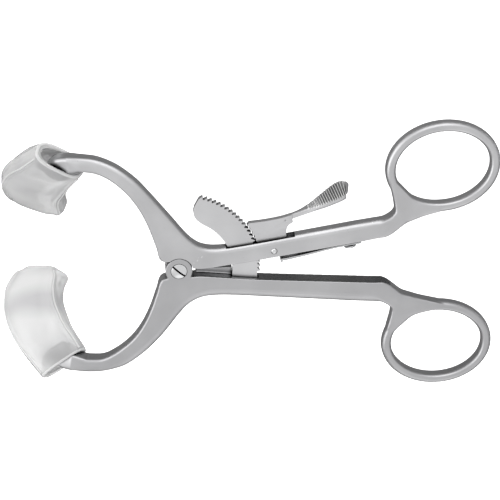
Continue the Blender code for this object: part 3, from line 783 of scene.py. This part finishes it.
def build_lower_arm(material, dark_reflection_paint):
    """Lower arm; the inner flank of its handle takes the darker material, a painted dark reflection."""
    arm = arm_bar("lower_arm_forging", LOWER_STATIONS, -1)
    low, high = eye_place(-1)
    join(arm, finger_ring("ring", *LOWER_RING), web("web", LOWER_WEB),
         disc("eye", EYE_RADIUS, low, high), plate("shoulder", SHOULDER, *SHOULDER_HEIGHTS))
    forged(arm)
    soften_web(arm, -1)
    slot_low = (FOOT_SLOT_X[0], FOOT_SLOT_FLOOR, ARM_MID - SLOT_WIDTH / 2)
    slot_high = (FOOT_SLOT_X[1], 2.0, ARM_MID + SLOT_WIDTH / 2)
    cutters = join(
        disc("recess", EYE_RADIUS + EYE_CLEARANCE, -4.0, ARM_MID),
        box("foot_slot", slot_low, slot_high),
    )
    cut(arm, cutters)
    step = ARM_DEPTH - SCREW_SEAT_DEPTH
    bore = SCREW_SHANK_RADIUS + BORE_ROOM
    cut(arm, turned("bore", (
        (0.0, CLEAR_REAR), (bore, CLEAR_REAR), (bore, step), (SCREW_SEAT_RADIUS, step),
        (SCREW_SEAT_RADIUS, CLEAR_FRONT), (0.0, CLEAR_FRONT))))
    finish(arm, material, "lower", "lower_arm")
    # Painted reflection: the inner flank's faces that look to +Y take near black steel, standing in for
    # the dark surroundings they mirror.
    arm.data.materials.append(dark_reflection_paint)
    for face in arm.data.polygons:
        x, y = face.center.x / MM, face.center.y / MM
        above = y > PAINTED_FLANK_TOP + PAINTED_FLANK_SLOPE * x
        if x > PAINTED_FLANK_START and above and face.normal.y > 0.8:
            face.material_index = 1
    return arm


# === joint and ratchet ========================================================================

def build_pivot_screw(material):
    rim = ARM_DEPTH
    seat = ARM_DEPTH - SCREW_SEAT_DEPTH + 0.3
    dome = (SCREW_HEAD_RADIUS ** 2 + SCREW_DOME ** 2) / (2 * SCREW_DOME)
    profile = [(0.0, 0.0), (SCREW_SHANK_RADIUS - 0.1, 0.0), (SCREW_SHANK_RADIUS, 0.1)]
    profile += [(SCREW_SHANK_RADIUS, seat), (SCREW_HEAD_RADIUS, seat)]
    for k in range(SCREW_DOME_STEPS + 1):
        radius = SCREW_HEAD_RADIUS * math.cos(0.5 * math.pi * k / SCREW_DOME_STEPS)
        if k == SCREW_DOME_STEPS:
            radius = 0.0
        profile.append((radius, rim - dome + SCREW_DOME + math.sqrt(dome ** 2 - radius ** 2)))
    screw = turned("pivot_screw_turned", profile)
    turn = math.radians(SCREW_SLOT_TURN)
    along = Vector((math.cos(turn), math.sin(turn))) * 4.0
    wide = Vector((-math.sin(turn), math.cos(turn))) * SCREW_SLOT / 2
    corners = (along + wide, -along + wide, -along - wide, along - wide)
    slot_floor = rim + SCREW_DOME - SCREW_SLOT_DEPTH
    cut(screw, plate("driver_slot", corners, slot_floor, CLEAR_FRONT))
    bevelled(screw, 0.05, 2, 50.0)
    return finish(screw, material, "upper", "pivot_screw")


def polar(radius, degrees):
    """Point on a circle about the pivot."""
    angle = math.radians(degrees)
    return (radius * math.cos(angle), radius * math.sin(angle))


def build_ratchet_rack(material):
    outline = [RACK_FOOT[0], RACK_FOOT[1]]
    outline.append(polar(RACK_TIP_RADIUS - TOOTH_DEPTH, FIRST_TOOTH - TOOTH_PITCH * 0.5))
    for k in range(TOOTH_COUNT):
        tip = FIRST_TOOTH + k * TOOTH_PITCH
        outline.append(polar(RACK_TIP_RADIUS - TOOTH_DEPTH, tip - 0.12 * TOOTH_PITCH))
        outline.append(polar(RACK_TIP_RADIUS, tip))
        outline.append(polar(RACK_TIP_RADIUS, tip + 0.14 * TOOTH_PITCH))
        outline.append(polar(RACK_TIP_RADIUS - TOOTH_DEPTH, tip + 0.7 * TOOTH_PITCH))
    outline += [tuple(point) for point in smooth_path(RACK_END, 5)]
    outline += [polar(RACK_BORE_RADIUS, degrees) for degrees in RACK_BORE_SWEEP]
    rack = plate("ratchet_rack_plate", outline, PLATE_LOW, PLATE_LOW + PLATE_THICK)
    bevelled(rack, PLATE_BEVEL, 2, 30.0)
    return finish(rack, material, "lower", "ratchet_rack", 20.0)


def pawl_tooth_edge():
    """The pawl's toothed edge, just outside the rack's tips."""
    points = []
    root = RACK_TIP_RADIUS + PAWL_LIFT + PAWL_TOOTH_DEPTH
    crest = RACK_TIP_RADIUS + PAWL_LIFT
    for k in range(PAWL_TEETH):
        tip = FIRST_TOOTH + (MESH_TOOTH + k) * TOOTH_PITCH
        points.append(polar(root, tip + 0.34 * TOOTH_PITCH))
        points.append(polar(crest, tip + 0.62 * TOOTH_PITCH))
        points.append(polar(crest, tip + 0.84 * TOOTH_PITCH))
        points.append(polar(root, tip + 0.88 * TOOTH_PITCH))
    return points


def lever_rows():
    """Rows of top point, direction down, thickness, half width and share of the length."""
    rows = smooth_path([top + (thick, half) for top, thick, half in LEVER_STATIONS], LEVER_STEPS)
    reach = [0.0]
    for first, second in zip(rows, rows[1:]):
        reach.append(reach[-1] + (Vector(second[:2]) - Vector(first[:2])).length)
    placed = []
    for i, row in enumerate(rows):
        ahead = rows[min(i + 1, len(rows) - 1)]
        behind = rows[max(i - 1, 0)]
        along = Vector((ahead[0] - behind[0], ahead[1] - behind[1], 0)).normalized()
        share = reach[i] / reach[-1]
        tilt = LEVER_TILT * smoothstep(0.1, 0.5, share)
        down = Vector((along.y, -along.x, 0)) * math.cos(tilt) - Vector((0, 0, math.sin(tilt)))
        top = Vector((row[0], row[1] + LEVER_DROP * math.sin(tilt), ARM_MID))
        placed.append((top, down, row[2], row[3], share))
    return placed


def groove_depth(share):
    """Depth of the grooves between the thumb ribs at a share of the lever's length."""
    if share < LEVER_RIB_START or share > LEVER_RIB_END:
        return 0.0
    phase = (share - LEVER_RIB_START) / (LEVER_RIB_END - LEVER_RIB_START) * LEVER_RIBS
    wave = abs((phase % 1.0) - 0.5) * 2
    fade = blend_value(0.5, 1.0, smoothstep(LEVER_RIB_START, LEVER_RIB_FULL, share))
    return LEVER_GROOVE * fade * smoothstep(0.25, 0.75, 1 - wave)


def build_release_pawl(material, worn):
    """Pawl plate and thumb lever; the lever's ribbed thumb face takes the worn material."""
    outline = pawl_tooth_edge()[::-1] + list(PAWL_HEEL)
    outline += [tuple(point) for point in smooth_path(PAWL_BACK, 4)]
    outline += [tuple(point) for point in smooth_path(PAWL_TOP, 4)]
    face = PLATE_LOW + PLATE_THICK
    pawl = plate("release_pawl_forging", outline, PLATE_LOW, face)
    punch = turned("punch", ((0.0, face - 0.3), (0.3, face - 0.1), (0.5, face + 0.4),
                             (0.0, face + 0.4)), PAWL_DIMPLE, 24)
    cut(pawl, punch)
    bevelled(pawl, PLATE_BEVEL, 2, 30.0)
    sections = []
    for top, down, thick, half, share in lever_rows():
        across = (Vector((0, 0, 1)) - down * down.z).normalized()
        groove = groove_depth(share)
        centre = top + down * (thick + groove) / 2
        thin = (thick - groove) / 2
        wide = half * LEVER_NARROW
        sections.append(soft_section(
            centre, across, down, wide, thin,
            (min(wide, 0.9) * 0.8, thin * 0.5), (thin * 0.4, thin * 0.4)))
    join(pawl, loft("lever", sections))
    finish(pawl, material, "pawl", "release_pawl", 25.0)
    pawl.data.materials.append(worn)
    for face in pawl.data.polygons:
        if face.center.x > WORN_START_X * MM and face.normal.dot(THUMB_FACE) > 0.85:
            face.material_index = 1
    return pawl


def build_pawl_pin(material):
    profile = (
        (0.0, 0.1), (PAWL_PIN_RADIUS - 0.08, 0.1), (PAWL_PIN_RADIUS, 0.18),
        (PAWL_PIN_RADIUS, ARM_DEPTH + 0.02), (PAWL_PIN_RADIUS * 0.9, ARM_DEPTH + 0.14),
        (PAWL_PIN_RADIUS * 0.68, ARM_DEPTH + 0.26), (PAWL_PIN_RADIUS * 0.36, ARM_DEPTH + 0.33),
        (0.0, ARM_DEPTH + 0.35),
    )
    return finish(turned("pawl_pin_turned", profile, PAWL_PIVOT, 48), material,
                  "upper", "pawl_pin")


def build_leaf_spring(material):
    """Strip along the handle's underside, with its free end rolled into a lip."""
    path = [Vector(point) for point in smooth_path(LEAF_TOP, 8)]
    lip_centre = path[-1] + Vector((-0.2, -LEAF_LIP_RADIUS))
    for degrees in LEAF_LIP_SWEEP:
        path.append(lip_centre + Vector(polar(LEAF_LIP_RADIUS, degrees)))
    sections = []
    for i, spot in enumerate(path):
        ahead = path[min(i + 1, len(path) - 1)]
        behind = path[max(i - 1, 0)]
        along = (ahead - behind).normalized()
        down = Vector((-along.y, along.x, 0))
        start = Vector((spot.x, spot.y, ARM_MID)) + down * LEAF_THICK / 2
        sections.append(soft_section(
            start, Vector((0, 0, 1)), down, LEAF_WIDTH / 2, LEAF_THICK / 2,
            LEAF_ROUND, LEAF_ROUND))
    leaf = loft("leaf_spring_strip", sections)
    hole_ends = handle_point(SPRING_SCREW_X, 4.0), handle_point(SPRING_SCREW_X, -1.0)
    cut(leaf, tilted_round("screw_hole", *hole_ends, ((0, LEAF_HOLE_RADIUS), (1, LEAF_HOLE_RADIUS))))
    return finish(leaf, material, "leaf", "leaf_spring")


def build_spring_screw(material):
    foot = handle_point(SPRING_SCREW_X, LEAF_THICK + 0.45)
    top = handle_point(SPRING_SCREW_X, -4.0)
    screw = tilted_round("spring_screw_turned", foot, top, (
        (0, SPRING_SCREW_RADIUS), (0.97, SPRING_SCREW_RADIUS), (1, 0.8)))
    crown = foot + (foot - top).normalized() * SPRING_SCREW_HEAD_HEIGHT
    join(screw, tilted_round("head", foot, crown, SPRING_SCREW_HEAD))
    return finish(screw, material, "upper", "spring_screw")


# === pads =====================================================================================

def pad_ring(row, share):
    """One section of a pad: a soft slab, hollowed between swellings along its long edges."""
    centre, across, normal, half_width, half_depth, _ = row
    swell = smoothstep(0.0, 0.15, share) * (1 - smoothstep(0.92, 1.0, share))
    points = []
    for i in range(PAD_RING_POINTS):
        angle = 2 * math.pi * i / PAD_RING_POINTS
        cos, sin = math.cos(angle), math.sin(angle)
        wide = math.copysign(abs(cos) ** (2 / PAD_POWER), cos)
        deep = math.copysign(abs(sin) ** (2 / PAD_POWER), sin)
        off_bead = (abs(wide) - PAD_BEAD_PLACE) / PAD_BEAD_WIDTH
        bead = PAD_BEAD * math.exp(-off_bead ** 2) * swell
        dish = PAD_DISH * (1 - min(1.0, abs(wide) / PAD_DISH_REACH) ** 4) * swell
        rise = deep * half_depth + math.copysign(bead - dish, deep) * (abs(deep) > 0.3)
        points.append(centre + across * (wide * half_width) + normal * rise)
    return points


def pad_flange(name, rows, side, edge, thickness, reaches, outs):
    """Flange along one edge of a pad; it runs to the rear and rounds off at the far end."""
    sections = []
    for i, (centre, across, normal, half_width, _, _) in enumerate(rows):
        share = i / (len(rows) - 1)
        grown = share * share
        fade = math.sqrt(max(0.08, 1 - smoothstep(0.9, 1.0, share)))
        thin = blend_value(*thickness, grown) * fade
        reach = blend_value(*reaches, grown) * fade
        place = centre + across * (edge * (half_width + blend_value(*outs, grown)))
        place -= normal * (side * reach / 2)
        ring = []
        for k in range(FLANGE_POINTS):
            angle = 2 * math.pi * k / FLANGE_POINTS
            wide = across * math.cos(angle) * thin
            ring.append(place + wide + normal * (math.sin(angle) * (reach / 2 + thin)))
        sections.append(ring)
    return loft(name, sections)


def tube(name, path, radius, closed=False):
    """Round tube along a path."""
    sections = []
    count = len(path)
    for i, spot in enumerate(path):
        if closed:
            along = (path[(i + 1) % count] - path[i - 1]).normalized()
        else:
            along = (path[min(i + 1, count - 1)] - path[max(i - 1, 0)]).normalized()
        across = along.cross(Vector((0.31, 0.17, 0.93))).normalized()
        normal = along.cross(across)
        ring = []
        for k in range(TUBE_POINTS):
            angle = 2 * math.pi * k / TUBE_POINTS
            ring.append(spot + (across * math.cos(angle) + normal * math.sin(angle)) * radius)
        sections.append(ring)
    return loft(name, sections, closed)


def pad_beads(rows, side):
    """Raised beads along the front edges of a pad and round the rim of its mouth."""
    beads = []
    for edge in (1, -1):
        path = []
        for centre, across, normal, half_width, half_depth, _ in rows[1:-3]:
            out = across * (edge * BEAD_PLACE[0] * half_width)
            path.append(centre + out + normal * (side * BEAD_PLACE[1] * half_depth))
        beads.append(tube("bead", path, BEAD_RADIUS))
    centre, across, normal, half_width, half_depth, along = rows[0]
    rim = (centre, across, normal, half_width - RIM_RADIUS, half_depth - RIM_RADIUS, along)
    beads.append(tube("rim", pad_ring(rim, 0.0), RIM_RADIUS, True))
    # The beads and the rim take material slot 1, whose whiter colour paints the highlight lines along
    # the pad's edges.
    for bead in beads:
        for face in bead.data.polygons:
            face.material_index = 1
    return beads


def trimmed(rows, trim):
    """A pad's rows with its edges drawn in."""
    result = []
    for i, (centre, across, normal, half_width, half_depth, along) in enumerate(rows):
        share = i / (len(rows) - 1)
        for (low, outer_0, inner_0), (high, outer_1, inner_1) in zip(trim, trim[1:]):
            if low <= share <= high:
                part = smoothstep(low, high, share)
                outer = blend_value(outer_0, outer_1, part)
                inner = blend_value(inner_0, inner_1, part)
        result.append((centre + across * ((outer - inner) / 2), across, normal,
                       half_width - (outer + inner) / 2, half_depth, along))
    return result


def pad_pocket(side):
    """Cutter for the pocket that the tongue sits in; it narrows to a blunt end."""
    sections = []
    rows = framed_rows(PAD_STATIONS[:4], side, POCKET_STEPS)[:POCKET_ROWS]
    for i, (centre, across, normal, half_width, half_depth, along) in enumerate(rows):
        share = i / (POCKET_ROWS - 1)
        shrink = math.sqrt(1 - 0.96 * share * share)
        wide = (half_width - POCKET_WALL[0]) * shrink
        deep = (half_depth - POCKET_WALL[1]) * shrink
        start = centre - along * (POCKET_PAST_MOUTH if i == 0 else 0.0)
        rounding = (wide * 0.9, deep * 0.9)
        sections.append(soft_section(start, across, normal, wide, deep, rounding, rounding))
    return loft("pocket", sections)


def build_pad(name, node, body, side, trim, flanges, material, highlight_material):
    """Pad on a jaw's tongue; its beads and its rim take the whiter second material, a painted highlight.
    """
    rows = trimmed(framed_rows(PAD_STATIONS, side, PAD_STEPS), trim)
    sections = [pad_ring(row, i / (len(rows) - 1)) for i, row in enumerate(rows)]
    centre, across, normal, half_width, half_depth, along = rows[-1]
    for depth, shrink in PAD_END:
        end = (centre + along * depth, across, normal, half_width * shrink, half_depth * shrink, along)
        sections.append(pad_ring(end, 1.0))
    pad = loft(name, sections)
    join(pad, *[pad_flange("flange", rows, side, *flange) for flange in flanges])
    forged(pad, PAD_VOXEL, PAD_SMOOTH)
    cut(pad, pad_pocket(side))
    join(pad, *pad_beads(rows, side))
    return finish(pad, material, body, node, 40.0, highlight_material)


# === stage ====================================================================================

def build_camera():
    """Camera at the photo's angle, long enough to look nearly parallel."""
    data = bpy.data.cameras.new("camera")
    data.lens = CAMERA_LENS
    data.sensor_width = CAMERA_SENSOR
    data.clip_start = 0.01
    obj = bpy.data.objects.new("camera", data)
    bpy.context.collection.objects.link(obj)
    turn = Matrix((CAMERA_RIGHT, CAMERA_UP, CAMERA_BACK)).transposed().to_4x4()
    obj.matrix_world = Matrix.Translation(Vector(CAMERA_PLACE) * MM) @ turn
    bpy.context.scene.camera = obj


def sheet(name, half, gap):
    """Square a little below the instrument, already in metres."""
    bm = bmesh.new()
    corners = ((-half, -half), (half, -half), (half, half), (-half, half))
    bm.faces.new([bm.verts.new((x, y, CAD_BOX[0][2] - gap)) for x, y in corners])
    return new_object(name, bm)


def build_floor():
    """Plain white floor that glows evenly, as a lit paper sweep does."""
    floor = sheet("floor", FLOOR_HALF, FLOOR_GAP)
    material, _, _, shader = node_material("pale_floor")
    shader.inputs["Base Color"].default_value = (0.92, 0.92, 0.92, 1.0)
    shader.inputs["Roughness"].default_value = 0.9
    shader.inputs["Specular IOR Level"].default_value = 0.1
    shader.inputs["Emission Color"].default_value = (1.0, 1.0, 1.0, 1.0)
    shader.inputs["Emission Strength"].default_value = 1.0
    floor.data.materials.append(material)


def build_dark_card():
    """Dark card under the instrument that only its reflections see."""
    card = sheet("dark_card", CARD_HALF, CARD_GAP)
    material, _, _, shader = node_material("dark_card")
    shader.inputs["Base Color"].default_value = (0.22, 0.22, 0.22, 1.0)
    shader.inputs["Roughness"].default_value = 1.0
    card.data.materials.append(material)
    card.visible_camera = False
    card.visible_diffuse = False
    card.visible_transmission = False
    card.visible_shadow = False


def sky_patch(nodes, links, direction, low, high, strength):
    """Light of a soft patch round a direction, by the cosine of the angle to it."""
    place = nodes.new("ShaderNodeTexCoord")
    dot = nodes.new("ShaderNodeVectorMath")
    dot.operation = "DOT_PRODUCT"
    dot.inputs[1].default_value = Vector(direction).normalized()
    ramp = nodes.new("ShaderNodeMapRange")
    ramp.interpolation_type = "SMOOTHSTEP"
    ramp.inputs["From Min"].default_value = low
    ramp.inputs["From Max"].default_value = high
    ramp.inputs["To Min"].default_value = 0.0
    ramp.inputs["To Max"].default_value = strength
    links.new(place.outputs["Generated"], dot.inputs[0])
    links.new(dot.outputs["Value"], ramp.inputs["Value"])
    return ramp.outputs["Result"]


def build_lights():
    """Dark horizon, grey overhead dome and bright patches for the streaks on rounded edges."""
    world = bpy.data.worlds.new("studio")
    bpy.context.scene.world = world
    world.use_nodes = True
    nodes, links = world.node_tree.nodes, world.node_tree.links
    background = nodes["Background"]
    background.inputs["Color"].default_value = (1.0, 1.0, 1.0, 1.0)
    total = None
    for patch in SKY:
        added = nodes.new("ShaderNodeMath")
        added.operation = "ADD"
        if total:
            links.new(total, added.inputs[0])
        else:
            added.inputs[0].default_value = SKY_BASE
        links.new(sky_patch(nodes, links, *patch), added.inputs[1])
        total = added.outputs["Value"]
    links.new(total, background.inputs["Strength"])


# === build ====================================================================================

bpy.context.scene.view_settings.view_transform = "Standard"

# Each steel: darker and lighter tone, range of roughness, strength of its grain
# Painted light and shade: both arms are one steel, the upper copy coloured lighter and the lower one
# darker for the light that falls on each.
upper_steel_painted_lighter = steel("satin_steel_upper_painted_light", (0.54, 0.54, 0.55), (0.64, 0.64, 0.65), (0.27, 0.40), 0.22)
lower_steel_painted_darker = steel("satin_steel_lower_painted_shade", (0.47, 0.47, 0.48), (0.54, 0.54, 0.55), (0.28, 0.42), 0.22)
worn_ribs = steel("satin_steel_ribs", (0.90, 0.90, 0.90), (0.95, 0.95, 0.95), (0.5, 0.66), 0.2)
# Painted reflection: near black steel for the lower handle's inner flank, standing in for the dark
# surroundings it mirrors.
flank_painted_dark = steel("satin_steel_flank_painted_dark", (0.16, 0.16, 0.165), (0.30, 0.30, 0.305), (0.22, 0.36), 0.2,
                   grain=(0.12, 1.0, 1.0))
satin_plate = steel("satin_steel_plate", (0.62, 0.62, 0.63), (0.70, 0.70, 0.71), (0.30, 0.44), 0.25,
                    grain=(0.15, 1.0, 1.0), grain_turn=1.1)
bright = steel("bright_steel", (0.72, 0.73, 0.74), (0.80, 0.80, 0.81), (0.14, 0.26), 0.12)
spring = steel("spring_steel", (0.54, 0.55, 0.56), (0.62, 0.62, 0.63), (0.2, 0.34), 0.15,
               grain=(0.1, 1.0, 1.0))
clear = clear_plastic("clear_plastic_pad", (0.57, 0.57, 0.575), (0.77, 0.77, 0.77), 0.42)
# Painted highlight: the whiter plastic of the beads and the rim stands in for the light caught inside
# the pad's edges.
rim_painted_highlight = clear_plastic("clear_plastic_rim_painted_highlight", (0.93, 0.93, 0.935), (0.98, 0.98, 0.98), 0.35)

build_camera()
build_floor()
build_dark_card()
build_lights()
build_upper_arm(upper_steel_painted_lighter)
build_lower_arm(lower_steel_painted_darker, flank_painted_dark)
build_pivot_screw(bright)
build_ratchet_rack(satin_plate)
build_release_pawl(satin_plate, worn_ribs)
build_pawl_pin(bright)
build_leaf_spring(spring)
build_spring_screw(bright)
build_pad("upper_pad_moulding", "upper_pad", "upper", 1, UPPER_TRIM, UPPER_FLANGES,
          clear, rim_painted_highlight)
build_pad("lower_pad_moulding", "lower_pad", "lower", -1, LOWER_TRIM, LOWER_FLANGES,
          clear, rim_painted_highlight)
